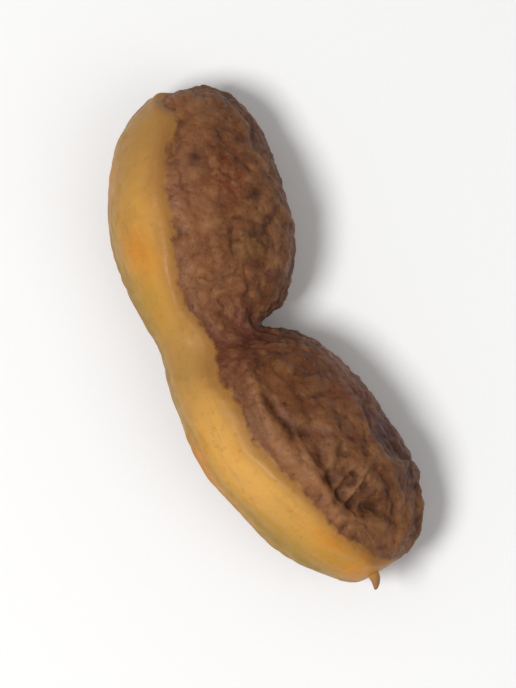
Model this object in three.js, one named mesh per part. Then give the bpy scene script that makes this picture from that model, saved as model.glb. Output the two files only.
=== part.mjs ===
// A dried pagoda tree pod: two seed lobes joined at a pinched waist, with a smooth golden band along
// the back and a wrinkled brown wall over the rest. It grew as one piece, so it is one closed solid.
// Millimetres, +Z up: the pod lies on its side, its length along X, the band towards -Y and the pinch
// towards +Y. The origin is the middle of its box, on the surface that it lies on.

import * as THREE from "three";

// Driving dimensions. A station is a distance along X from the waist, and the head lobe lies before
// it. Each way out from the middle line has one curve for each lobe: how far it reaches, how full its
// ends are, and how far its widest place is moved towards its start.
const headTip = -13.1;
const tailTip = 14.4;
const lobes = {
  back: [
    { start: headTip, end: 1.7, reach: 4.85, fullness: 2, skew: 0 },
    { start: -3.3, end: tailTip, reach: 4.8, fullness: 1.78, skew: 0.09 },
  ],
  belly: [
    { start: headTip, end: 0.8, reach: 4.6, fullness: 2.45, skew: 0.15 },
    { start: -0.55, end: tailTip, reach: 5.2, fullness: 2.5, skew: -0.26 },
  ],
  side: [
    { start: headTip, end: 1.0, reach: 3.7, fullness: 2.35, skew: 0.05 },
    { start: -0.8, end: tailTip, reach: 3.75, fullness: 2.15, skew: 0 },
  ],
};
const waist = {
  rounding: { back: 0.9, belly: 0.1, side: 0.9 }, // how softly the two lobes run together
  reach: { back: 3, belly: 1.1, side: 2.5 },
  pinch: 0.75, // how much deeper the belly is drawn in
  pinchWidth: 0.65,
};
const bend = { slope: 0.15, rounding: 1.8 }; // the middle line rises from the waist to both tips
const roll = { head: 15, tail: 22, twistOver: 6 }; // degrees that the back is turned up
const wedge = 0.1; // how much thicker a section is at the band than at the belly
const backFlatness = 0.85; // 1 is a round back, less is flatter
const beak = { length: 0.8, hook: 0.35, radius: 0.3, root: 0.8, bluntness: 2.2, rootRounding: 0.5 };

// The band: how far its middle line is turned up from the back, in radians, and its half widths.
const band = {
  turn: { head: 0.3, tail: 0.2 },
  halfWidth: { head: 3.1, waist: 2.1, tail: 2.65, headEnd: 0.9, tailEnd: 1.4 },
  narrowest: { at: -1, reach: 3 },
  taper: { head: 1.9, tail: 5, pastTail: 1 },
  edge: { softness: 0.3, wander: 0.12, wavelength: 3.4, seed: 6.1 },
};

// Relief on the band and beside it. Heights stand off the smooth form, and a minus sign sinks them.
const crown = { height: 0.08, wave: 0.05, wavelength: 4.2, seed: 0.9 };
const rim = { height: 0.1, inside: 0.35, width: 0.4 };
const groove = { depth: 0.06, outside: 0.3, width: 0.35 };
const folds = [
  { from: 1.5, to: 13, pastBand: 1.35, height: 0.16, width: 0.5 },
  { from: 3, to: 13.5, pastBand: 2.2, height: -0.22, width: 0.42 },
  { from: 5.5, to: 12.5, pastBand: 3.15, height: 0.14, width: 0.5 },
  { from: -11, to: -4, pastBand: 1.1, height: 0.06, width: 0.55 },
];
const foldPath = { fadeIn: 2, wander: 0.28, wavelength: 4, seed: 7.7 };

// Relief on the wall, all but the seam kept clear of the band.
const clearance = { upper: 2, lower: 3 };
const dents = { wavelength: 7, depth: 0.14, seed: 2.9 };
const net = {
  height: 0.28,
  headShare: 0.36, // the head lobe and the dome beside the waist are calmer than the tail's end
  calmUntil: 4,
  fullFrom: 10.5,
  waistShare: 0.3,
  tip: { share: 0.4, reach: 2 },
  wavelength: 4.2,
  crest: 0.42,
  base: 0.45,
  stretch: 0.7,
  seed: 1.7,
  branch: { wavelength: 0.7, height: 0.8, seeds: [3.9, 5.3], fromMain: 0.1, clearOfMain: 0.7 },
  wander: { reach: 0.6, wavelength: 5, seeds: [2.3, 4.1] },
};
const seam = { height: 0.16, width: 0.32 };
const puckers = {
  count: 11,
  waist: { height: 0.08, at: 0, reach: 1.6 },
  head: { height: 0.04, inside: 1, reach: 2.2 },
  tail: { height: 0.06, inside: 1.2, reach: 2.2 },
  sway: { reach: 1.5, wavelength: 6, seed: 3.3 },
};
const slimEnds = { none: 0.3, full: 1.3 }; // half widths between which the relief grows in
const scar = { radius: 0.6, depth: 0.25, rim: { height: 0.1, radius: 1.1, width: 0.3 } };
const restDepth = 0.27; // what the flat spots that it lies on take off the lobes

const stations = 104;
const sectors = 56;

const tau = 2 * Math.PI;
const goldenAngle = Math.PI * (3 - Math.sqrt(5));
const mix = (a, b, s) => a + (b - a) * s;
const bump = (x, width) => Math.exp(-((x / width) ** 2));
const fade = (a, b, x) => {
  const s = Math.min(1, Math.max(0, (x - a) / (b - a)));
  return s * s * (3 - 2 * s);
};

// The larger of two values, rounded where they meet.
const softMax = (a, b, rounding) => (a + b + Math.hypot(a - b, rounding)) / 2;

// 0 on the head lobe, 1 on the tail lobe.
const headToTail = (x) => fade(-roll.twistOver, roll.twistOver, x);

// One lobe's curve at a station: a superellipse from its start to its end.
function lobeReach(curve, x) {
  const along = (x - (curve.start + curve.end) / 2) / ((curve.end - curve.start) / 2);
  if (Math.abs(along) >= 1) return 0;
  const skewed = Math.abs(along + curve.skew * (1 - along * along));
  return curve.reach * (1 - skewed ** curve.fullness) ** (1 / curve.fullness);
}

// The pod's half width at a station, one way out from its middle line.
function reach(way, x) {
  const rounding = waist.rounding[way] * bump(x, waist.reach[way]);
  let lobe = softMax(lobeReach(lobes[way][0], x), lobeReach(lobes[way][1], x), rounding);
  if (way === "belly") lobe -= waist.pinch * bump(x, waist.pinchWidth);
  const past = (x - tailTip + beak.root) / (beak.length + beak.root);
  if (past <= 0) return lobe;
  const stub = beak.radius * Math.sqrt(Math.max(0, 1 - past ** beak.bluntness));
  return softMax(lobe, stub, beak.rootRounding * (1 - past));
}

// A point of the smooth pod at a station and an angle: 0 is the back, half a turn the belly.
function formPoint(x, angle) {
  const lean = Math.hypot(x, bend.rounding);
  const past = Math.max(0, x - tailTip) / beak.length;
  const middle = new THREE.Vector3(x, bend.slope * lean - beak.hook * past * past, 0);
  const slope = (bend.slope * x) / lean - (2 * beak.hook * past) / beak.length;
  const along = new THREE.Vector3(1, slope, 0).normalize();
  const turned = THREE.MathUtils.degToRad(mix(roll.head, roll.tail, headToTail(x)));
  const flatBack = new THREE.Vector3(along.y, -along.x, 0);
  const back = flatBack.clone().multiplyScalar(Math.cos(turned)).setZ(Math.sin(turned));
  const up = flatBack.multiplyScalar(-Math.sin(turned)).setZ(Math.cos(turned));
  const towardsBack = Math.cos(angle);
  const toBack = reach("back", x) * Math.max(0, towardsBack) ** backFlatness;
  const toBelly = reach("belly", x) * Math.min(0, towardsBack);
  const wide = Math.sin(angle) * reach("side", x) * (1 + wedge * towardsBack);
  return middle.addScaledVector(back, toBack + toBelly).addScaledVector(up, wide);
}

// A field of plane waves of one length, their directions spread evenly over a sphere. Its zero lines
// wander over the pod like wrinkles.
function waves(p, wavelength, seed) {
  const count = 15;
  let sum = 0;
  for (let i = 0; i < count; i++) {
    const height = 1 - (2 * i + 1) / count;
    const ring = Math.sqrt(1 - height * height);
    const turn = i * goldenAngle + seed;
    const way = p.x * ring * Math.cos(turn) + p.y * ring * Math.sin(turn) + p.z * height;
    sum += Math.sin((tau * way) / wavelength + seed * (i + 1) * (i + 2));
  }
  return sum / Math.sqrt(count / 2);
}

// A raised net: main ridges on one field's zero lines, and branch ridges that end on them.
function netRidges(p) {
  const { branch, wander } = net;
  const q = new THREE.Vector3(p.x * net.stretch, p.y, p.z);
  q.x += wander.reach * waves(q, wander.wavelength, wander.seeds[0]);
  q.y += wander.reach * waves(q, wander.wavelength, wander.seeds[1]);
  const main = waves(q, net.wavelength, net.seed);
  const side = waves(q, net.wavelength * branch.wavelength, branch.seeds[main > 0 ? 0 : 1]);
  const clear = fade(branch.fromMain, branch.clearOfMain, Math.abs(main));
  return Math.max(bump(main, net.crest), branch.height * clear * bump(side, net.crest));
}

// How high the net stands at a station.
function netHeight(x) {
  const lobe = mix(net.headShare, 1, fade(net.calmUntil, net.fullFrom, x));
  const calmed = mix(lobe, net.waistShare, bump(x, waist.reach.side));
  return net.height * mix(calmed, net.tip.share, bump(x - tailTip, net.tip.reach));
}

// The band's half width at a station: narrower at the waist and towards both ends.
function bandHalfWidth(x) {
  const lobe = mix(band.halfWidth.head, band.halfWidth.tail, headToTail(x));
  const full = mix(lobe, band.halfWidth.waist, bump(x - band.narrowest.at, band.narrowest.reach));
  const fromHead = mix(band.halfWidth.headEnd, full, fade(headTip, headTip + band.taper.head, x));
  const toTail = fade(tailTip - band.taper.tail, tailTip + band.taper.pastTail, x);
  return mix(fromHead, band.halfWidth.tailEnd, toTail);
}

// The long folds beside the band, on its upper side.
function foldHeight(x, pastBand, p) {
  const wander = foldPath.wander * waves(p, foldPath.wavelength, foldPath.seed);
  let height = 0;
  for (const fold of folds) {
    const start = fade(fold.from, fold.from + foldPath.fadeIn, x);
    const end = 1 - fade(fold.to - foldPath.fadeIn, fold.to, x);
    height += fold.height * start * end * bump(pastBand - fold.pastBand - wander, fold.width);
  }
  return height;
}

// Puckers that gather round the waist and both tips.
function puckerHeight(x, angle, p) {
  const atWaist = puckers.waist.height * bump(x - puckers.waist.at, puckers.waist.reach);
  const atHead = puckers.head.height * bump(x - headTip - puckers.head.inside, puckers.head.reach);
  const atTail = puckers.tail.height * bump(x - tailTip + puckers.tail.inside, puckers.tail.reach);
  const sway = puckers.sway.reach * waves(p, puckers.sway.wavelength, puckers.sway.seed);
  return Math.max(atWaist, atHead, atTail) * Math.cos(puckers.count * angle + sway);
}

// The round scar in the head's end, and the rim round it.
function scarHeight(x, girth) {
  const out = Math.hypot(x - headTip, girth);
  return scar.rim.height * bump(out - scar.rim.radius, scar.rim.width) - scar.depth * bump(out, scar.radius);
}

// How far the surface stands off the smooth form.
function relief(x, angle, p) {
  const girth = (reach("side", x) + reach("back", x)) / 2;
  const turn = mix(band.turn.head, band.turn.tail, headToTail(x));
  const fromBand = Math.atan2(Math.sin(angle - turn), Math.cos(angle - turn)) * girth;
  const wander = band.edge.wander * waves(p, band.edge.wavelength, band.edge.seed);
  const pastBand = Math.abs(fromBand) - bandHalfWidth(x) - wander;
  const onBand = 1 - fade(-band.edge.softness, band.edge.softness, pastBand);
  const onWall = fade(0, fromBand > 0 ? clearance.upper : clearance.lower, pastBand);

  let height = onBand * (crown.height + crown.wave * waves(p, crown.wavelength, crown.seed));
  height += rim.height * bump(pastBand + rim.inside, rim.width);
  height -= groove.depth * bump(pastBand - groove.outside, groove.width);
  if (fromBand > 0) height += foldHeight(x, pastBand, p);
  height += onWall * dents.depth * waves(p, dents.wavelength, dents.seed);
  height += onWall * netHeight(x) * (netRidges(p) - net.base);
  height += onWall * puckerHeight(x, angle, p);
  height += seam.height * bump((Math.PI - Math.abs(angle)) * girth, seam.width);
  height *= fade(slimEnds.none, slimEnds.full, girth);
  return x < 0 ? height + scarHeight(x, girth) : height;
}

// The finished surface: the form moved out along its own normal by the relief.
function surfacePoint(x, angle) {
  const step = 1e-3;
  const p = formPoint(x, angle);
  const along = formPoint(x + step, angle).sub(formPoint(x - step, angle));
  const round = formPoint(x, angle + step).sub(formPoint(x, angle - step));
  return along.cross(round).normalize().multiplyScalar(relief(x, angle, p)).add(p);
}

// Stations spaced evenly along the pod's outline, so that the round ends get as many as they need.
function stationList() {
  const fine = 4000;
  const outline = [{ x: headTip, length: 0 }];
  let out = 0;
  for (let i = 1; i <= fine; i++) {
    const x = mix(headTip, tailTip + beak.length, (1 - Math.cos((Math.PI * i) / fine)) / 2);
    const last = outline[i - 1];
    const nowOut = (reach("side", x) + reach("belly", x)) / 2;
    outline.push({ x, length: last.length + Math.hypot(x - last.x, nowOut - out) });
    out = nowOut;
  }
  const list = [];
  let at = 0;
  for (let i = 1; i < stations; i++) {
    const length = (outline[fine].length * i) / stations;
    while (outline[at + 1].length < length) at++;
    list.push(outline[at].x);
  }
  return list;
}

// The pod's wall as one closed mesh: rings of points, and a pole at each end.
function podGeometry() {
  const rings = stationList();
  const points = [formPoint(headTip, 0).add(new THREE.Vector3(scar.depth, 0, 0))];
  for (const x of rings) {
    for (let j = 0; j < sectors; j++) points.push(surfacePoint(x, (tau * j) / sectors));
  }
  points.push(formPoint(tailTip + beak.length, 0));
  const last = points.length - 1;
  const at = (ring, j) => 1 + ring * sectors + (j % sectors);
  const faces = [];
  for (let j = 0; j < sectors; j++) {
    faces.push(0, at(0, j), at(0, j + 1));
    faces.push(last, at(rings.length - 1, j + 1), at(rings.length - 1, j));
    for (let i = 0; i + 1 < rings.length; i++) {
      faces.push(at(i, j), at(i + 1, j), at(i + 1, j + 1));
      faces.push(at(i, j), at(i + 1, j + 1), at(i, j + 1));
    }
  }
  const geometry = new THREE.BufferGeometry().setFromPoints(points);
  geometry.setIndex(faces);
  return geometry;
}

// The lowest point of the lobe on one side of the waist: -1 is the head, 1 the tail.
function lowestPoint(geometry, side) {
  const clearOfWaist = 3;
  const points = geometry.attributes.position;
  const lowest = new THREE.Vector3(0, 0, Infinity);
  const p = new THREE.Vector3();
  for (let i = 0; i < points.count; i++) {
    p.fromBufferAttribute(points, i);
    if (p.x * side > clearOfWaist && p.z < lowest.z) lowest.copy(p);
  }
  return lowest;
}

// The pod levelled on both lobes, pressed flat where it rests, and centred on its box at Z = 0.
function restingPod() {
  const wall = podGeometry();
  const headLow = lowestPoint(wall, -1);
  const tailLow = lowestPoint(wall, 1);
  wall.rotateY(Math.atan2(tailLow.z - headLow.z, tailLow.x - headLow.x));
  const surface = lowestPoint(wall, 1).z + restDepth;
  const points = wall.attributes.position;
  for (let i = 0; i < points.count; i++) points.setZ(i, Math.max(surface, points.getZ(i)));
  wall.computeBoundingBox();
  const middle = wall.boundingBox.getCenter(new THREE.Vector3());
  wall.translate(-middle.x, -middle.y, -surface);
  wall.computeVertexNormals();
  return wall;
}

const podBrown = new THREE.MeshStandardMaterial({ color: 0x6f4a32, roughness: 0.62, metalness: 0 });

const pod = new THREE.Mesh(restingPod(), podBrown);
pod.name = "pod";

const podGroup = new THREE.Group();
podGroup.add(pod);

export default podGroup;
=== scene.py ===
# The look of a dried pagoda tree pod, laid on a pale floor and seen from nearly straight above.
# The pod's wall is worked out again here on a fine grid, from the same formulas as its solid.
import bpy
import math
import numpy as np
from mathutils import Matrix, Vector
from types import SimpleNamespace


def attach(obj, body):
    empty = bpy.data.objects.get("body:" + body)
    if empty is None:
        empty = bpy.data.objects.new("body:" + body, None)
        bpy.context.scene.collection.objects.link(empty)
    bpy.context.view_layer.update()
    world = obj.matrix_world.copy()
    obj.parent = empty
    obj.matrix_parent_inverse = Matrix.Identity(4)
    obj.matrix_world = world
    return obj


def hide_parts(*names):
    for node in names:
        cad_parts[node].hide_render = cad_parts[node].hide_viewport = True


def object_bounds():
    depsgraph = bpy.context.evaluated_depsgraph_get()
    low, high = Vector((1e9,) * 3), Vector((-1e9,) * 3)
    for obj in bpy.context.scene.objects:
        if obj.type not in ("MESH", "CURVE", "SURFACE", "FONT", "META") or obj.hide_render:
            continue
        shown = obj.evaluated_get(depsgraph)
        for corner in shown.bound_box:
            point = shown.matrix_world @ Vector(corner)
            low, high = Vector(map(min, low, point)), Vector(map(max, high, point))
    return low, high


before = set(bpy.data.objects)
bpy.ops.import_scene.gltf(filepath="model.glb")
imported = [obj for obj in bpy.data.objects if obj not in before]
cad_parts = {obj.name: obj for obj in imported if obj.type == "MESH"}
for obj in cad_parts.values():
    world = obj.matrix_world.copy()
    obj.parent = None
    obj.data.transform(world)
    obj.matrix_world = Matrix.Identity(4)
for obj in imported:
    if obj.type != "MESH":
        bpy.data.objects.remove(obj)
cadBox = [[float(v) for v in corner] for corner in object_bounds()]
print("pod solid loaded, box", cadBox)

mm = 0.001
tau = 2 * math.pi
goldenAngle = math.pi * (3 - math.sqrt(5))

# All in millimetres. A station is a distance along X from the waist, head lobe first.
podShape = {
    "headTip": -13.1,
    "tailTip": 14.4,
    # for each way out from the middle line, one curve a lobe: start, end, reach, fullness, skew
    "back": [(-13.1, 1.7, 4.85, 2.0, 0.0), (-3.3, 14.4, 4.8, 1.78, 0.09)],
    "belly": [(-13.1, 0.8, 4.6, 2.45, 0.15), (-0.55, 14.4, 5.2, 2.5, -0.26)],
    "side": [(-13.1, 1.0, 3.7, 2.35, 0.05), (-0.8, 14.4, 3.75, 2.15, 0.0)],
    "waistRounding": {"back": 0.9, "belly": 0.1, "side": 0.9},
    "waistReach": {"back": 3.0, "belly": 1.1, "side": 2.5},
    "pinch": 0.75,
    "pinchWidth": 0.65,
    "bendSlope": 0.15,
    "bendRounding": 1.8,
    "headRoll": 15.0,  # degrees that the back is turned up
    "tailRoll": 22.0,
    "twistOver": 6.0,
    "wedge": 0.1,
    "backFlatness": 0.85,
    "beak": {"length": 0.8, "hook": 0.35, "radius": 0.3, "root": 0.8, "bluntness": 2.2, "rootRounding": 0.5},
    "restDepth": 0.27,
    "clearOfWaist": 3.0,  # a lobe's lowest point is further from the waist than this
    "rings": 384,
    "sectors": 252,
}

# The golden band: turns in radians up from the back, and half widths.
podBand = {
    "headTurn": 0.3,
    "tailTurn": 0.2,
    "headHalfWidth": 3.1,
    "waistHalfWidth": 2.1,
    "tailHalfWidth": 2.65,
    "headEndHalfWidth": 0.9,
    "tailEndHalfWidth": 1.4,
    "narrowestAt": -1.0,
    "narrowestReach": 3.0,
    "headTaper": 1.9,
    "tailTaper": 5.0,
    "pastTail": 1.0,
    "edge": {"softness": 0.3, "wander": 0.12, "wavelength": 3.4, "seed": 6.1},
}

# Relief that the solid has too.
podRelief = {
    "crown": {"height": 0.08, "wave": 0.05, "wavelength": 4.2, "seed": 0.9},
    "rim": {"height": 0.1, "inside": 0.35, "width": 0.4},
    "groove": {"depth": 0.06, "outside": 0.3, "width": 0.35},
    # long folds beside the band: from, to, how far past the band, height, width
    "folds": [(1.5, 13.0, 1.35, 0.16, 0.5), (3.0, 13.5, 2.2, -0.22, 0.42),
              (5.5, 12.5, 3.15, 0.14, 0.5), (-11.0, -4.0, 1.1, 0.06, 0.55)],
    "foldPath": {"fadeIn": 2.0, "wander": 0.28, "wavelength": 4.0, "seed": 7.7},
    # a fold's crease and crest as shares of its width, and the height whose crest shows in full
    "foldMarks": {"crease": 0.45, "crest": 0.7, "fullHeight": 0.15},
    "clearance": {"upper": 2.0, "lower": 3.0},
    "dents": {"wavelength": 7.0, "depth": 0.14, "seed": 2.9},
    "net": {"height": 0.28, "headShare": 0.36, "calmUntil": 4.0, "fullFrom": 10.5, "waistShare": 0.3,
            "tipShare": 0.4, "tipReach": 2.0, "base": 0.45},
    "mainNet": {"wavelength": 4.2, "crest": 0.42, "wander": 0.6, "seed": 0.0},
    "netStretch": 0.7,
    "netSeed": 1.7,
    "netSway": {"wavelength": 5.0, "seeds": (2.3, 4.1)},
    # finer ridges clear of the main ones: shares of the main net's, where they fade in, a seed a side
    "netBranch": {"wavelength": 0.7, "height": 0.8, "from": 0.1, "to": 0.7, "seeds": (3.9, 5.3)},
    "seam": {"height": 0.16, "width": 0.32},
    "puckers": {"count": 11, "sway": 1.5, "wavelength": 6.0, "seed": 3.3,
                # height, station, reach
                "places": [(0.08, 0.0, 1.6), (0.04, -12.1, 2.2), (0.06, 13.2, 2.2)]},
    "slimEnds": (0.3, 1.3),
    "scar": {"radius": 0.6, "depth": 0.25, "rimHeight": 0.1, "rimRadius": 1.1, "rimWidth": 0.3},
}

# Relief finer than the solid holds.
podFine = {
    "net": {"wavelength": 2.3, "crest": 0.3, "wander": 0.4, "seed": 0.6},
    "netHeight": 0.1,
    "netBase": 0.3,
    # where the fine net is strong: slow patches, more of them towards the tail, fewer past the waist
    "patches": {"middle": 0.55, "range": 0.45, "sharpness": 1.2, "wavelength": 11.0, "seed": 8.4,
                "growth": 0.12, "middleAt": 3.0, "gap": 0.6, "gapAt": 1.5, "gapReach": 4.0},
    # leathery grains, parted by sharp little valleys: wavelength, height, seed
    "grains": [(1.7, 0.06, 1.1), (0.95, 0.05, 2.1), (0.55, 0.026, 3.1)],
    "grainTop": 1.2,
    "grainBase": 0.6,
    "grainsFadeIn": (0.0, 0.5),  # past the band
    "pits": {"wavelength": 1.9, "from": 1.8, "to": 2.8, "depth": 0.05, "seed": 9.2},
    "creaseDepth": 0.05,
    "seamSlit": {"depth": 0.07, "width": 0.1},
    # how high or low a spot lies beside its neighbours, from -1 to 1 over this range of heights; low spots
    # get painted shade, high ones a paler tan
    "cavity": {"netHeight": 0.16, "netBase": 0.4, "range": 0.12},
    "bandWrinkles": {"wavelength": 1.9, "stretch": 1.6, "height": 0.02, "base": 0.8, "seed": 4.6},
    "strands": {"height": 0.014, "wavelength": 0.8, "stretch": 0.1, "seed": 2.2},
}

# Where the skin's colours and its painted shade lie: distances past the band's border, or from the seam,
# scar or tail tip, stations, and how strongly the main net's ridges and the pits count; the pits' count goes
# to painted shade in them.
podMasks = {
    "band": (-0.3, 0.7),
    "bandEdge": {"headFrom": -1.5, "tailFrom": -1.0, "to": 0.5},
    "margin": {"past": 1.1, "width": 0.85, "gap": 0.9, "gapAt": 2.4, "gapReach": 3.0},
    "acrossLimit": 3.0,  # in half widths of the band
    "mainRidges": 0.5,
    "pits": 0.4,
    "tips": (-0.3, 0.5),
    "scarRadius": 0.75,
    "seamWidth": 0.24,
    "mottled": {"gap": 0.8, "gapAt": 4.0, "gapReach": 3.5},
}

# Patches of colour, among them stains and painted shade: station, distance round from the band's middle
# line, reach along, reach round.
podStainsAndShade = {
    "orange": [(-5.0, 0.9, 1.3, 1.2), (12.0, 1.6, 1.0, 0.6), (14.0, 0.4, 0.9, 1.2), (-9.5, -1.4, 1.6, 1.0),
               (5.5, -1.8, 2.2, 0.9)],
    "dull": [(-10.8, 1.2, 2.8, 3.0), (0.7, 0.7, 1.8, 2.2)],
    "red": [(6.0, 7.8, 1.6, 1.1), (-7.4, 6.2, 1.8, 1.0), (9.5, -6.5, 2.0, 1.4), (-5.0, -8.0, 2.2, 1.4)],
    # purple-brown skin at the waist and on the tail's right flank; on the flank it also stands in for shade,
    # as painted shade
    "purple": [(0.4, 4.0, 1.9, 1.9), (0.3, -4.4, 1.9, 2.0), (8.6, 8.7, 2.2, 1.8)],
    "pink": [(-8.0, 4.1, 2.0, 0.8), (4.2, 9.6, 1.5, 1.2)],
    # painted shade: darker patches where shadow fell on the tail's right flank, in a groove there and beside
    # the waist's pinch
    "paintedShade": [(10.2, 5.1, 1.3, 0.55), (10.2, 7.8, 1.6, 1.3), (0.8, 6.9, 1.2, 1.4)],
    "pale": [(7.4, 4.2, 2.2, 1.0), (10.0, 4.1, 1.3, 0.6), (7.2, 7.0, 1.2, 0.9), (12.4, 5.8, 1.0, 1.0),
             (-2.6, 3.6, 1.1, 0.9), (-5.0, 7.6, 2.0, 1.3), (-10.5, -6.0, 2.0, 2.0)],
    "paleSpots": [(-5.4, 4.8, 0.35, 0.3), (-12.0, 3.6, 0.4, 0.35)],
    "darkSpots": [(-6.5, 7.4, 0.42, 0.38), (-9.0, 4.6, 0.4, 0.3)],
    "bright": [(6.8, 1.3, 3.6, 1.4)],
    "olive": [(-9.5, -0.4, 3.5, 1.1), (-2.5, 0.2, 1.8, 1.1), (10.8, -0.3, 2.6, 1.2), (12.8, 0.2, 1.2, 1.3)],
}


def mix(a, b, s):
    # a where s is 0, b where it is 1, and straight between
    return a + (b - a) * s


def bump(x, width):
    # a bell of height one: exp(-(x / width) squared)
    return np.exp(-((x / width) ** 2))


def fade(a, b, x):
    # smoothstep from 0 at a to 1 at b
    s = np.clip((x - a) / (b - a), 0, 1)
    return s * s * (3 - 2 * s)


def gapAlong(x, place):
    # one all along the pod, but for a bell-shaped dip at a station
    return 1 - place["gap"] * bump(x - place["gapAt"], place["gapReach"])


def softMax(a, b, rounding):
    # the larger of two values, rounded where they meet
    return (a + b + np.hypot(a - b, rounding)) / 2


def headToTail(x):
    # 0 on the head lobe, 1 on the tail lobe, a smoothstep through the waist
    return fade(-podShape["twistOver"], podShape["twistOver"], x)


def lobeReach(curve, x):
    # superellipse: reach * (1 - |u| ^ n) ^ (1 / n), u from -1 to 1 along the lobe and skewed
    start, end, reach, fullness, skew = curve
    u = np.clip((x - (start + end) / 2) / ((end - start) / 2), -1, 1)
    skewed = np.clip(np.abs(u + skew * (1 - u * u)), 0, 1)
    return reach * (1 - skewed ** fullness) ** (1 / fullness)


def podReach(way, x):
    # half width one way out: the rounded larger of both lobes, the belly's pinch, then the beak
    shape = podShape
    beak = shape["beak"]
    rounding = shape["waistRounding"][way] * bump(x, shape["waistReach"][way])
    lobe = softMax(lobeReach(shape[way][0], x), lobeReach(shape[way][1], x), rounding)
    if way == "belly":
        lobe = lobe - shape["pinch"] * bump(x, shape["pinchWidth"])
    past = (x - shape["tailTip"] + beak["root"]) / (beak["length"] + beak["root"])
    onBeak = np.clip(past, 0, 1)
    stub = beak["radius"] * np.sqrt(1 - onBeak ** beak["bluntness"])
    return np.where(past > 0, softMax(lobe, stub, beak["rootRounding"] * (1 - onBeak)), lobe)


def podForm(x, angle):
    # the smooth pod: middle line plus back * cos(angle) * reach and up * sin(angle) * reach
    shape = podShape
    beak = shape["beak"]
    lean = np.hypot(x, shape["bendRounding"])
    past = np.maximum(0, x - shape["tailTip"]) / beak["length"]
    middleY = shape["bendSlope"] * lean - beak["hook"] * past ** 2
    slope = shape["bendSlope"] * x / lean - 2 * beak["hook"] * past / beak["length"]
    alongX = 1 / np.hypot(1, slope)
    alongY = slope * alongX
    turned = np.radians(mix(shape["headRoll"], shape["tailRoll"], headToTail(x)))
    c, s = np.cos(angle), np.sin(angle)
    towardsBack = np.maximum(c, 0) ** shape["backFlatness"] * podReach("back", x)
    deep = np.where(c > 0, towardsBack, c * podReach("belly", x))
    wide = s * podReach("side", x) * (1 + shape["wedge"] * c)
    flat = deep * np.cos(turned) - wide * np.sin(turned)
    return np.stack([x + alongY * flat, middleY - alongX * flat,
                     deep * np.sin(turned) + wide * np.cos(turned)], axis=-1)


def waveField(p, wavelength, seed):
    # fifteen plane waves of one length, their directions spread evenly over a sphere, rms 1
    count = 15
    total = 0
    for i in range(count):
        height = 1 - (2 * i + 1) / count
        ring = math.sqrt(1 - height * height)
        turn = i * goldenAngle + seed
        way = p[..., 0] * ring * math.cos(turn) + p[..., 1] * ring * math.sin(turn) + p[..., 2] * height
        total = total + np.sin(tau * way / wavelength + seed * (i + 1) * (i + 2))
    return total / math.sqrt(count / 2)


def waves(p, field):
    # the waves of a field that a dictionary describes
    return waveField(p, field["wavelength"], field["seed"])


def netRidges(p, net):
    # bells on one field's zero lines, and on a finer field's between them
    branch = podRelief["netBranch"]
    sway = podRelief["netSway"]
    q = p * np.array([podRelief["netStretch"], 1, 1])
    for axis, seed in enumerate(sway["seeds"]):
        q[..., axis] += net["wander"] * waveField(q, sway["wavelength"], seed)
    main = waveField(q, net["wavelength"], podRelief["netSeed"] + net["seed"])
    finer = net["wavelength"] * branch["wavelength"]
    above, below = [waveField(q, finer, seed + net["seed"]) for seed in branch["seeds"]]
    clear = fade(branch["from"], branch["to"], np.abs(main))
    branches = branch["height"] * clear * bump(np.where(main > 0, above, below), net["crest"])
    return np.maximum(bump(main, net["crest"]), branches)


def bandHalfWidth(x):
    # narrower at the waist and towards both ends
    band = podBand
    lobe = mix(band["headHalfWidth"], band["tailHalfWidth"], headToTail(x))
    full = mix(lobe, band["waistHalfWidth"], bump(x - band["narrowestAt"], band["narrowestReach"]))
    headTip, tailTip = podShape["headTip"], podShape["tailTip"]
    fromHead = mix(band["headEndHalfWidth"], full, fade(headTip, headTip + band["headTaper"], x))
    toTail = fade(tailTip - band["tailTaper"], tailTip + band["pastTail"], x)
    return mix(fromHead, band["tailEndHalfWidth"], toTail)


def foldsBeside(x, pastBand, p):
    # height of the long folds, and where their creases and crests are: bells beside the band's border
    path = podRelief["foldPath"]
    marks = podRelief["foldMarks"]
    wander = path["wander"] * waves(p, path)
    height = 0
    crease = 0
    crest = 0
    for start, end, past, tall, width in podRelief["folds"]:
        ends = fade(start, start + path["fadeIn"], x) * (1 - fade(end - path["fadeIn"], end, x))
        off = pastBand - past - wander
        height = height + tall * ends * bump(off, width)
        if tall < 0:
            crease = np.maximum(crease, ends * bump(off, width * marks["crease"]))
        else:
            crest = np.maximum(crest, ends * bump(off, width * marks["crest"]) * tall / marks["fullHeight"])
    return height, crease, np.clip(crest, 0, 1)


def netStrength(x):
    # how strongly the net stands: less on the head lobe, at the waist and at the tail tip
    net = podRelief["net"]
    strength = mix(net["headShare"], 1, fade(net["calmUntil"], net["fullFrom"], x))
    strength = mix(strength, net["waistShare"], bump(x, podShape["waistReach"]["side"]))
    return mix(strength, net["tipShare"], bump(x - podShape["tailTip"], net["tipReach"]))


def fineNetStrength(x, p):
    # slow patches: middle + range * tanh(waves, and a rise towards the tail), with a dip past the waist
    patches = podFine["patches"]
    slow = patches["sharpness"] * waves(p, patches) + patches["growth"] * (x - patches["middleAt"])
    return (patches["middle"] + patches["range"] * np.tanh(slow)) * gapAlong(x, patches)


def puckerHeight(x, angle, p):
    # gathers at the waist and both ends: bells along the pod times a cosine round it
    puckers = podRelief["puckers"]
    gathered = 0
    for tall, station, reach in puckers["places"]:
        gathered = np.maximum(gathered, tall * bump(x - station, reach))
    return gathered * np.cos(puckers["count"] * angle + puckers["sway"] * waves(p, puckers))


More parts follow.
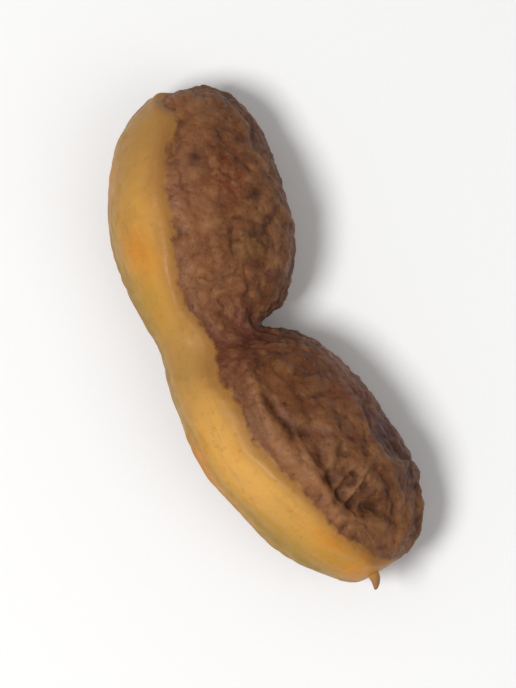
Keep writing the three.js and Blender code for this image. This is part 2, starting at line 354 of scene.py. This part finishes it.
def scarHeight(x, fromScar):
    # a bell-shaped ring round a bell-shaped hollow at the head's end
    scar = podRelief["scar"]
    ring = scar["rimHeight"] * bump(fromScar - scar["rimRadius"], scar["rimWidth"])
    return np.where(x < 0, ring - scar["depth"] * bump(fromScar, scar["radius"]), 0)


def patchAmount(name, x, fromBand):
    # bells round each listed place of one kind of stain or painted shade, the strongest one counting
    amount = 0
    for station, around, reachAlong, reachRound in podStainsAndShade[name]:
        amount = np.maximum(amount, bump(x - station, reachAlong) * bump(fromBand - around, reachRound))
    return amount


def wallPlaces(x, angle, p):
    # for each point: how far round it is from the band, seam and scar, and what lies there, mostly 0 to 1
    at = SimpleNamespace(x=x, angle=angle, p=p)
    edge = podBand["edge"]
    clearance = podRelief["clearance"]
    pits = podFine["pits"]
    girth = (podReach("side", x) + podReach("back", x)) / 2
    turn = mix(podBand["headTurn"], podBand["tailTurn"], headToTail(x))
    at.fromBand = np.arctan2(np.sin(angle - turn), np.cos(angle - turn)) * girth
    at.halfWidth = bandHalfWidth(x)
    at.pastBand = np.abs(at.fromBand) - at.halfWidth - edge["wander"] * waves(p, edge)
    at.fromSeam = (math.pi - np.abs(angle)) * girth
    at.fromScar = np.hypot(x - podShape["headTip"], girth)
    at.upper = at.fromBand > 0
    at.onBand = 1 - fade(-edge["softness"], edge["softness"], at.pastBand)
    at.onWall = fade(0, np.where(at.upper, clearance["upper"], clearance["lower"]), at.pastBand)
    at.rough = fade(*podFine["grainsFadeIn"], at.pastBand)
    at.slim = fade(*podRelief["slimEnds"], girth)
    at.foldHeight, at.crease, at.foldCrest = foldsBeside(x, at.pastBand, p)
    at.net = netRidges(p, podRelief["mainNet"])
    at.netStrength = netStrength(x)
    at.fineNet = netRidges(p, podFine["net"])
    at.fineStrength = fineNetStrength(x, p)
    at.pitted = fade(pits["from"], pits["to"], waves(p, pits))
    return at


def broadRelief(at):
    # heights that the solid holds too: band, folds, dents, net, puckers and seam, then the scar
    crown, rim, groove, dents, net, seam = [
        podRelief[name] for name in ("crown", "rim", "groove", "dents", "net", "seam")]
    height = at.onBand * (crown["height"] + crown["wave"] * waves(at.p, crown))
    height += rim["height"] * bump(at.pastBand + rim["inside"], rim["width"])
    height -= groove["depth"] * bump(at.pastBand - groove["outside"], groove["width"])
    height += at.upper * at.foldHeight
    height += at.onWall * dents["depth"] * waves(at.p, dents)
    height += at.onWall * net["height"] * at.netStrength * (at.net - net["base"])
    height += at.onWall * puckerHeight(at.x, at.angle, at.p)
    height += seam["height"] * bump(at.fromSeam, seam["width"])
    return height * at.slim + scarHeight(at.x, at.fromScar)


def fineWallRelief(at):
    # heights that the solid can't hold: finer net, grains cut off at a level, pits, creases, seam's slit
    slit = podFine["seamSlit"]
    height = at.onWall * at.fineStrength * podFine["netHeight"] * (at.fineNet - podFine["netBase"])
    for wavelength, tall, seed in podFine["grains"]:
        grain = np.minimum(np.abs(waveField(at.p, wavelength, seed)), podFine["grainTop"])
        height += at.rough * tall * (grain - podFine["grainBase"])
    height -= at.onWall * podFine["pits"]["depth"] * at.pitted
    height -= at.upper * podFine["creaseDepth"] * at.crease
    return height - slit["depth"] * bump(at.fromSeam, slit["width"])


def fineBandRelief(at):
    # strands along the band, from waves stretched along it, and faint wrinkles across it
    strands = podFine["strands"]
    wrinkles = podFine["bandWrinkles"]
    lengthwise = np.stack([at.x * strands["stretch"], at.fromBand, np.zeros_like(at.x)], axis=-1)
    crosswise = at.p * np.array([wrinkles["stretch"], 1, 1])
    height = strands["height"] * waves(lengthwise, strands)
    height += wrinkles["height"] * (np.abs(waves(crosswise, wrinkles)) - wrinkles["base"])
    return at.onBand * height


def skinMasks(at, fineWall):
    # where the skin's colours and its painted shade lie, each a value at every point
    bandEdge = podMasks["bandEdge"]
    edgeFrom = mix(bandEdge["headFrom"], bandEdge["tailFrom"], headToTail(at.x))
    margin = podMasks["margin"]
    beside = bump(at.pastBand - margin["past"], margin["width"])
    ridges = np.maximum(podMasks["mainRidges"] * at.netStrength * at.net, at.fineStrength * at.fineNet)
    low = podFine["cavity"]
    cavity = at.rough * (fineWall + at.netStrength * low["netHeight"] * (at.net - low["netBase"]))
    masks = {
        "band": 1 - fade(*podMasks["band"], at.pastBand),
        "bandEdge": fade(edgeFrom, bandEdge["to"], at.pastBand),
        "margin": beside * at.slim * gapAlong(at.x, margin),
        "across": np.clip(at.fromBand / at.halfWidth, -podMasks["acrossLimit"], podMasks["acrossLimit"]),
        "ridge": np.clip(at.rough * np.maximum(ridges, at.upper * at.foldCrest), 0, 1),
        # creases and pits, for painted shade in them and a duller finish
        "crease": np.clip(np.maximum(at.upper * at.crease, podMasks["pits"] * at.pitted * at.onWall), 0, 1),
        # height beside the neighbours, for paler high spots and painted shade in the low ones
        "cavity": np.clip(cavity / low["range"], -1, 1),
        "tips": fade(*podMasks["tips"], at.x - podShape["tailTip"]),
        "scar": bump(at.fromScar, podMasks["scarRadius"]),
        "mottled": gapAlong(at.x, podMasks["mottled"]),
        "seam": bump(at.fromSeam, podMasks["seamWidth"]),
        "along": at.x,
        "around": at.fromBand,
    }
    for name in podStainsAndShade:
        masks[name] = patchAmount(name, at.x, at.fromBand)
    return masks


def ringStations(count):
    # stations evenly spaced along the pod's outline, so that the blunt ends get enough
    samples = 6001
    end = podShape["tailTip"] + podShape["beak"]["length"]
    x = mix(podShape["headTip"], end, (1 - np.cos(np.linspace(0, math.pi, samples))) / 2)
    out = (podReach("side", x) + podReach("belly", x)) / 2
    length = np.concatenate([[0], np.cumsum(np.hypot(np.diff(x), np.diff(out)))])
    return np.interp(length[-1] * np.arange(1, count + 1) / (count + 1), length, x)


def restingPlace(p, clearOfWaist):
    # level on both lobes' lowest points by a turn about Y, then the height of the surface
    head = p[p[:, 0] < -clearOfWaist]
    tail = p[p[:, 0] > clearOfWaist]
    headLow = head[head[:, 2].argmin()]
    tailLow = tail[tail[:, 2].argmin()]
    tilt = math.atan2(tailLow[2] - headLow[2], tailLow[0] - headLow[0])
    turn = np.array([[math.cos(tilt), 0, math.sin(tilt)], [0, 1, 0], [-math.sin(tilt), 0, math.cos(tilt)]])
    tailTurned = tail @ turn.T
    return turn, tailTurned[:, 2].min() + podShape["restDepth"]


def podPoints():
    # rings of points round the pod and a pole at each end, laid down as the solid is
    shape = podShape
    angle = np.linspace(0, tau, shape["sectors"], endpoint=False)
    angle = np.where(angle > math.pi, angle - tau, angle)
    x, angle = np.meshgrid(ringStations(shape["rings"]), angle, indexing="ij")
    step = 1e-3
    form = podForm(x, angle)
    normal = np.cross(podForm(x + step, angle) - podForm(x - step, angle),
                      podForm(x, angle + step) - podForm(x, angle - step))
    normal /= np.linalg.norm(normal, axis=-1, keepdims=True)
    at = wallPlaces(x, angle, form)
    fineWall = fineWallRelief(at)
    broad = normal * broadRelief(at)[..., None]
    fine = normal * ((fineWall + fineBandRelief(at)) * at.slim)[..., None]
    poleX = np.array([shape["headTip"], shape["tailTip"] + shape["beak"]["length"]])
    poles = podForm(poleX, np.zeros(2))
    poles[0, 0] += podRelief["scar"]["depth"]
    coarse = np.concatenate([poles[:1], (form + broad).reshape(-1, 3), poles[1:]])
    fineStep = np.concatenate([np.zeros((1, 3)), fine.reshape(-1, 3), np.zeros((1, 3))])
    turn, surface = restingPlace(coarse, shape["clearOfWaist"])
    coarse = coarse @ turn.T
    coarse[:, 2] = np.maximum(coarse[:, 2], surface)
    points = coarse + fineStep @ turn.T
    points[:, 2] = np.maximum(points[:, 2], surface)
    middle = (coarse.min(axis=0) + coarse.max(axis=0)) / 2
    points -= np.array([middle[0], middle[1], surface])
    masks = skinMasks(at, fineWall)
    return points, {name: np.concatenate([m[0, :1], m.ravel(), m[-1, :1]]) for name, m in masks.items()}


def podFaces(rings, sectors):
    # quads between neighbouring rings and a fan of triangles at each pole
    at = 1 + np.arange(rings * sectors).reshape(rings, sectors)
    nextAt = np.roll(at, -1, axis=1)
    quads = np.stack([at[:-1], at[1:], nextAt[1:], nextAt[:-1]], axis=-1).reshape(-1, 4)
    last = rings * sectors + 1
    head = np.stack([np.zeros(sectors, int), at[0], nextAt[0]], axis=-1)
    tail = np.stack([np.full(sectors, last), nextAt[-1], at[-1]], axis=-1)
    return quads.tolist() + head.tolist() + tail.tolist()


def buildPod():
    # the points as one smooth mesh, with each mask as an attribute of it
    points, masks = podPoints()
    mesh = bpy.data.meshes.new("pod_wall_fine")
    mesh.from_pydata((points * mm).tolist(), [], podFaces(podShape["rings"], podShape["sectors"]))
    mesh.polygons.foreach_set("use_smooth", np.ones(len(mesh.polygons), bool))
    for name, values in masks.items():
        mesh.attributes.new(name, "FLOAT", "POINT").data.foreach_set("value", values.astype(np.float32))
    mesh.update()
    pod = bpy.data.objects.new("pod_wall_fine", mesh)
    bpy.context.scene.collection.objects.link(pod)
    print("pod wall built,", len(mesh.polygons), "faces")
    return pod


podSkinLook = {
    "colours": {
        "flesh": (0.132, 0.042, 0.012),
        "fleshWarm": (0.185, 0.067, 0.020),
        # dark flesh for blotches and mottling, and for the painted shade patches
        "fleshDark": (0.070, 0.022, 0.008),
        "fleshPurple": (0.084, 0.014, 0.011),
        "fleshOlive": (0.120, 0.058, 0.013),
        "fleshRed": (0.170, 0.032, 0.012),
        "fleshPink": (0.225, 0.092, 0.064),
        "margin": (0.240, 0.094, 0.034),
        "ridgeTan": (0.330, 0.152, 0.060),
        # dark brown for specks and spots, and painted shade in creases, pits and low spots
        "darkSpecksAndShade": (0.034, 0.010, 0.004),
        "bandGold": (0.550, 0.275, 0.050),
        "bandOlive": (0.280, 0.170, 0.014),
        "bandOrange": (0.550, 0.205, 0.014),
        "bandBright": (0.670, 0.350, 0.080),
        "bandDull": (0.335, 0.175, 0.046),
        "bandBorder": (0.250, 0.100, 0.030),
        "tipTan": (0.270, 0.140, 0.052),
        "scarGrey": (0.150, 0.085, 0.045),
    },
    # noises: width of one feature in millimetres, detail, roughness, and distortion where it has some
    "noises": {
        "clouds": (4.5, 4, 0.55, 0.3),
        "blotches": (1.5, 3, 0.6, 0.5),
        "flecks": (0.55, 3, 0.6),
        "mottle": (0.8, 2, 0.55),
        "specks": (0.24, 2, 0.6),
        "patches": (2.6, 4, 0.55),
        "grain": (0.24, 3, 0.55),
    },
    "oliveClouds": {"noise": (3.5, 3, 0.5), "move": (0.03, 0.01, 0.02)},
    "fibres": {"noise": (0.35, 4, 0.6), "stretch": 0.12},
    "plates": {"size": 0.42, "sway": 0.35, "swaySize": 0.6, "swayDetail": 2.0},
    # what a fade follows, the two values it runs between, and what it gives at them
    "fades": {
        "purpleClouds": ("clouds", 0.42, 0.3, (0, 0.6)),
        "wornRidges": ("ridge", 0.45, 1.0, (0, 1)),
        "wornFlecks": ("flecks", 0.3, 0.62, (0.1, 0.5)),
        "orangePatches": ("patches", 0.52, 0.75, (0, 0.5)),
        "keelInside": ("across", 0.15, -0.5, (0, 1)),
        "keelOutside": ("across", -1.0, -0.6, (0.25, 1)),
        "keelPatches": ("patches", 0.38, 0.6, (0.45, 1)),
        "plateEdges": ("plates", 0.0, 0.22, (0, 0.08)),
        "dullFlecks": ("flecks", 0.3, 0.7, (0.46, 0.66)),
    },
    "orangeStain": 0.75,  # how strongly the orange stains count beside the orange patches
    "raggedMiddle": 1.0,  # what two noises average together
    "raggedBorder": (0.25, 0.75),
    # layers of colour from the bottom up: what each follows, the values it fades in between or none,
    # its strength, its colour, and the mask that it is kept within, if there is one
    "wall": [
        ("clouds", (0.38, 0.66), 1.0, "fleshWarm"),
        ("oliveClouds", (0.52, 0.72), 0.6, "fleshOlive"),
        ("red", None, 0.6, "fleshRed"),
        # purple-brown patches and clouds; on the tail's right flank partly painted shade
        ("purpleMarks", None, 0.88, "fleshPurple"),
        ("pink", None, 0.7, "fleshPink"),
        ("pale", None, 0.4, "ridgeTan"),
        # painted shade: the patches above, blended towards the dark flesh colour
        ("paintedShade", None, 0.8, "fleshDark"),
        ("blotches", (0.5, 0.3), 0.5, "fleshDark"),
        ("blotches", (0.55, 0.75), 0.4, "ridgeTan"),
        ("mottle", (0.48, 0.33), 0.55, "fleshDark", "mottled"),
        ("mottle", (0.54, 0.68), 0.4, "ridgeTan", "mottled"),
        ("margin", None, 0.7, "margin"),
        ("wornMarks", None, 1.0, "ridgeTan"),
        # paler on high spots; painted shade in low spots, fold creases and pits
        ("cavity", (0.1, 0.9), 0.25, "ridgeTan"),
        ("cavity", (-0.05, -0.8), 0.6, "darkSpecksAndShade"),
        ("crease", None, 0.4, "darkSpecksAndShade"),
        ("flecks", (0.62, 0.78), 0.3, "ridgeTan"),
        ("specks", (0.42, 0.25), 0.45, "darkSpecksAndShade"),
        ("specks", (0.58, 0.78), 0.3, "ridgeTan"),
        ("paleSpots", None, 0.6, "ridgeTan"),
        ("darkSpots", None, 0.7, "darkSpecksAndShade"),
        ("seam", None, 0.4, "ridgeTan"),
    ],
    "band": [
        ("patches", (0.5, 0.32), 0.6, "bandDull"),
        ("keelMarks", None, 1.0, "bandOlive"),
        ("olive", None, 0.55, "bandOlive"),
        ("bright", None, 0.8, "bandBright"),
        ("orangeMarks", None, 1.0, "bandOrange"),
        ("dull", None, 0.8, "bandDull"),
        ("fibres", (0.5, 0.8), 0.3, "bandBorder"),
        ("flecks", (0.56, 0.74), 0.4, "bandOlive"),
        ("specks", (0.38, 0.24), 0.4, "bandBorder"),
        ("bandEdge", None, 0.75, "bandBorder"),
    ],
    "ends": [
        ("tips", None, 0.9, "tipTan"),
        ("scar", None, 0.8, "scarGrey"),
    ],
    "bumps": {"wallGrain": 0.4, "bandFibres": 0.3, "bandGrain": 0.14, "strength": 1.0, "distance": 0.1},
    "creaseRoughness": 0.15,
    "bandSmoothness": 0.08,
    "specular": 0.2,
    "coat": 0.03,
    "coatRoughness": 0.4,
}


class NodeBench:
    # a short way to add and join shader nodes
    def __init__(self, material):
        material.use_nodes = True
        self.tree = material.node_tree
        self.tree.nodes.clear()

    def add(self, kind, inputs=None, **settings):
        node = self.tree.nodes.new(kind)
        for name, value in settings.items():
            setattr(node, name, value)
        for name, value in (inputs or {}).items():
            self.put(node.inputs[name], value)
        return node

    def put(self, socket, value):
        # a link from another socket, or a fixed value, a colour with its alpha
        if isinstance(value, bpy.types.NodeSocket):
            self.tree.links.new(value, socket)
        elif isinstance(value, tuple) and len(value) == 3 and socket.type == "RGBA":
            socket.default_value = (*value, 1)
        else:
            socket.default_value = value

    def attribute(self, name):
        # one of the masks that the mesh carries
        return self.add("ShaderNodeAttribute", attribute_name=name).outputs["Fac"]

    def noise(self, place, size, detail, roughness, distortion=0.0):
        # size is the width of one feature in millimetres
        return self.add("ShaderNodeTexNoise", {"Vector": place, "Scale": 1 / (size * mm), "Detail": detail,
                        "Roughness": roughness, "Distortion": distortion}).outputs["Fac"]

    def math(self, operation, a, b):
        node = self.add("ShaderNodeMath", operation=operation)
        self.put(node.inputs[0], a)
        self.put(node.inputs[1], b)
        return node.outputs[0]

    def ramp(self, value, low, high, to=(0.0, 1.0)):
        # smoothstep of a value between low and high, onto the range to
        return self.add("ShaderNodeMapRange", {"Value": value, "From Min": low, "From Max": high,
                        "To Min": to[0], "To Max": to[1]}, interpolation_type="SMOOTHSTEP").outputs["Result"]

    def blend(self, amount, below, above):
        # below where the amount is 0, above where it is 1
        node = self.add("ShaderNodeMix", data_type="RGBA")
        self.put(node.inputs[0], amount)
        self.put(node.inputs[6], below)
        self.put(node.inputs[7], above)
        return node.outputs[2]

    def source(self, name, maps):
        # the map of that name, or else the mesh's own mask
        return maps[name] if name in maps else self.attribute(name)

    def overlay(self, colour, maps, layers):
        # each layer's colour over what lies below it, by as much as the map or mask it follows says
        for follows, between, strength, above, *within in layers:
            amount = self.source(follows, maps)
            if between:
                amount = self.ramp(amount, *between, (0, strength))
            else:
                amount = self.math("MULTIPLY", amount, strength)
            for mask in within:
                amount = self.math("MULTIPLY", amount, self.attribute(mask))
            colour = self.blend(amount, colour, podSkinLook["colours"][above])
        return colour


def leatherPlates(bench, place):
    # distance to the edges of small cells, on a place that a soft noise sways
    plates = podSkinLook["plates"]
    sway = bench.add("ShaderNodeTexNoise", {"Vector": place, "Scale": 1 / (plates["swaySize"] * mm),
                     "Detail": plates["swayDetail"]}).outputs["Color"]
    swayed = bench.add("ShaderNodeVectorMath", {"Vector": sway, "Scale": plates["sway"] * mm},
                       operation="SCALE").outputs[0]
    warped = bench.add("ShaderNodeVectorMath", {0: place, 1: swayed}, operation="ADD").outputs[0]
    return bench.add("ShaderNodeTexVoronoi", {"Vector": warped, "Scale": 1 / (plates["size"] * mm)},
                     feature="DISTANCE_TO_EDGE").outputs["Distance"]


def skinMaps(bench, place):
    # the skin's noises, and the fades and marks made from them and from the wall's own masks
    look = podSkinLook
    maps = {name: bench.noise(place, *noise) for name, noise in look["noises"].items()}
    moved = bench.add("ShaderNodeMapping", {"Vector": place, "Location": look["oliveClouds"]["move"]})
    maps["oliveClouds"] = bench.noise(moved.outputs[0], *look["oliveClouds"]["noise"])
    lengthwise = bench.add("ShaderNodeCombineXYZ", {
        "X": bench.math("MULTIPLY", bench.attribute("along"), look["fibres"]["stretch"] * mm),
        "Y": bench.math("MULTIPLY", bench.attribute("around"), mm)})
    maps["fibres"] = bench.noise(lengthwise.outputs[0], *look["fibres"]["noise"])
    maps["plates"] = leatherPlates(bench, place)
    for name, (follows, low, high, to) in look["fades"].items():
        maps[name] = bench.ramp(bench.source(follows, maps), low, high, to)

    maps["purpleMarks"] = bench.math("MAXIMUM", bench.attribute("purple"), maps["purpleClouds"])
    maps["wornMarks"] = bench.math("MULTIPLY", maps["wornRidges"], maps["wornFlecks"])
    stained = bench.math("MULTIPLY", bench.attribute("orange"), look["orangeStain"])
    maps["orangeMarks"] = bench.math("ADD", stained, maps["orangePatches"])
    keel = bench.math("MULTIPLY", maps["keelInside"], maps["keelOutside"])
    maps["keelMarks"] = bench.math("MULTIPLY", keel, maps["keelPatches"])
    return maps


def podSkin():
    # brown wall, then the golden band over it, then the pale tip and the scar
    look = podSkinLook
    colours = look["colours"]
    material = bpy.data.materials.new("dried_pod_skin")
    bench = NodeBench(material)
    place = bench.add("ShaderNodeTexCoord").outputs["Object"]
    maps = skinMaps(bench, place)

    # the band's border is made ragged by two sizes of clouds
    clouds = bench.math("ADD", maps["flecks"], maps["blotches"])
    ragged = bench.math("SUBTRACT", clouds, look["raggedMiddle"])
    band = bench.ramp(bench.math("ADD", bench.attribute("band"), ragged), *look["raggedBorder"])
    wallColour = bench.overlay(colours["flesh"], maps, look["wall"])
    bandColour = bench.overlay(colours["bandGold"], maps, look["band"])
    colour = bench.overlay(bench.blend(band, wallColour, bandColour), maps, look["ends"])

    # relief finer than the mesh: skin grain, small leathery plates, and the band's fibres
    bumps = look["bumps"]
    wallHeight = bench.math("MULTIPLY", maps["grain"], bumps["wallGrain"])
    wallHeight = bench.math("ADD", wallHeight, maps["plateEdges"])
    bandHeight = bench.math("ADD", bench.math("MULTIPLY", maps["fibres"], bumps["bandFibres"]),
                            bench.math("MULTIPLY", maps["grain"], bumps["bandGrain"]))
    onWall = bench.math("MULTIPLY", wallHeight, bench.math("SUBTRACT", 1.0, band))
    height = bench.math("ADD", onWall, bench.math("MULTIPLY", bandHeight, band))
    relief = bench.add("ShaderNodeBump", {
        "Strength": bumps["strength"], "Distance": bumps["distance"] * mm, "Height": height})

    # dull where flecks and creases are, a little smoother on the band
    creased = bench.math("MULTIPLY", bench.attribute("crease"), look["creaseRoughness"])
    roughness = bench.math("ADD", maps["dullFlecks"], creased)
    roughness = bench.math("SUBTRACT", roughness, bench.math("MULTIPLY", band, look["bandSmoothness"]))
    shader = bench.add("ShaderNodeBsdfPrincipled", {
        "Base Color": colour, "Roughness": roughness, "Normal": relief.outputs[0],
        "Specular IOR Level": look["specular"], "Coat Weight": look["coat"],
        "Coat Roughness": look["coatRoughness"]})
    bench.add("ShaderNodeOutputMaterial", {"Surface": shader.outputs[0]})
    return material


studio = {
    "floorSize": 1.6,
    "floorColour": (0.91, 0.91, 0.905),
    "floorRoughness": 0.9,
    "floorSpecular": 0.1,
    "worldColour": (1.0, 1.0, 1.0),
    "worldStrength": 0.325,
    # name, direction as azimuth and elevation in degrees, distance, size, watts
    "lamps": [("key", -65, 62, 0.32, 0.11, 0.76), ("fill", 60, 55, 0.34, 0.26, 0.16)],
    "azimuth": 67.7,
    "elevation": 84.0,
    "lens": 360.0,
    "distance": 0.36,
    "nearClip": 0.001,
}


def buildFloor():
    # one flat square under the pod
    half = studio["floorSize"] / 2
    corners = [(-half, -half, 0), (half, -half, 0), (half, half, 0), (-half, half, 0)]
    mesh = bpy.data.meshes.new("floor")
    mesh.from_pydata(corners, [], [(0, 1, 2, 3)])
    floor = bpy.data.objects.new("floor", mesh)
    bpy.context.scene.collection.objects.link(floor)
    material = bpy.data.materials.new("pale_floor")
    bench = NodeBench(material)
    shader = bench.add("ShaderNodeBsdfPrincipled", {
        "Base Color": studio["floorColour"], "Roughness": studio["floorRoughness"],
        "Specular IOR Level": studio["floorSpecular"]})
    bench.add("ShaderNodeOutputMaterial", {"Surface": shader.outputs[0]})
    mesh.materials.append(material)


def viewFrame(azimuth, elevation):
    # right, up and back of a camera at an azimuth and elevation round the pod
    a, e = math.radians(azimuth), math.radians(elevation)
    right = Vector((math.cos(a), math.sin(a), 0))
    back = Vector((math.sin(a) * math.cos(e), -math.cos(a) * math.cos(e), math.sin(e)))
    return right, back.cross(right), back


def aimed(ob, right, up, back, place):
    # set down at a place, its X, Y and Z along right, up and back
    turn = Matrix((right, up, back)).transposed()
    ob.matrix_world = Matrix.Translation(place) @ turn.to_4x4()


def buildLights(middle):
    # a soft white all round, and round lamps facing the pod
    world = bpy.data.worlds.new("soft_white")
    bpy.context.scene.world = world
    world.use_nodes = True
    backdrop = world.node_tree.nodes["Background"]
    backdrop.inputs["Color"].default_value = (*studio["worldColour"], 1)
    backdrop.inputs["Strength"].default_value = studio["worldStrength"]
    for name, azimuth, elevation, distance, size, watts in studio["lamps"]:
        lamp = bpy.data.lights.new(name, "AREA")
        lamp.shape = "DISK"
        lamp.size = size
        lamp.energy = watts
        ob = bpy.data.objects.new(name, lamp)
        bpy.context.scene.collection.objects.link(ob)
        right, up, back = viewFrame(azimuth + studio["azimuth"], elevation)
        aimed(ob, right, up, back, middle + back * distance)


def buildCamera(middle):
    # a long lens at a distance back from the pod's middle
    camera = bpy.data.cameras.new("camera")
    camera.lens = studio["lens"]
    camera.clip_start = studio["nearClip"]
    ob = bpy.data.objects.new("camera", camera)
    bpy.context.scene.collection.objects.link(ob)
    right, up, back = viewFrame(studio["azimuth"], studio["elevation"])
    aimed(ob, right, up, back, middle + back * studio["distance"])
    bpy.context.scene.camera = ob


middle = Vector([(low + high) / 2 for low, high in zip(*cadBox)])

pod = buildPod()
pod.data.materials.append(podSkin())
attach(pod, "root")
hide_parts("pod")
print("skin laid on")

buildFloor()
buildLights(middle)
buildCamera(middle)
bpy.context.scene.view_settings.view_transform = "Standard"
print("floor, lights and camera set")
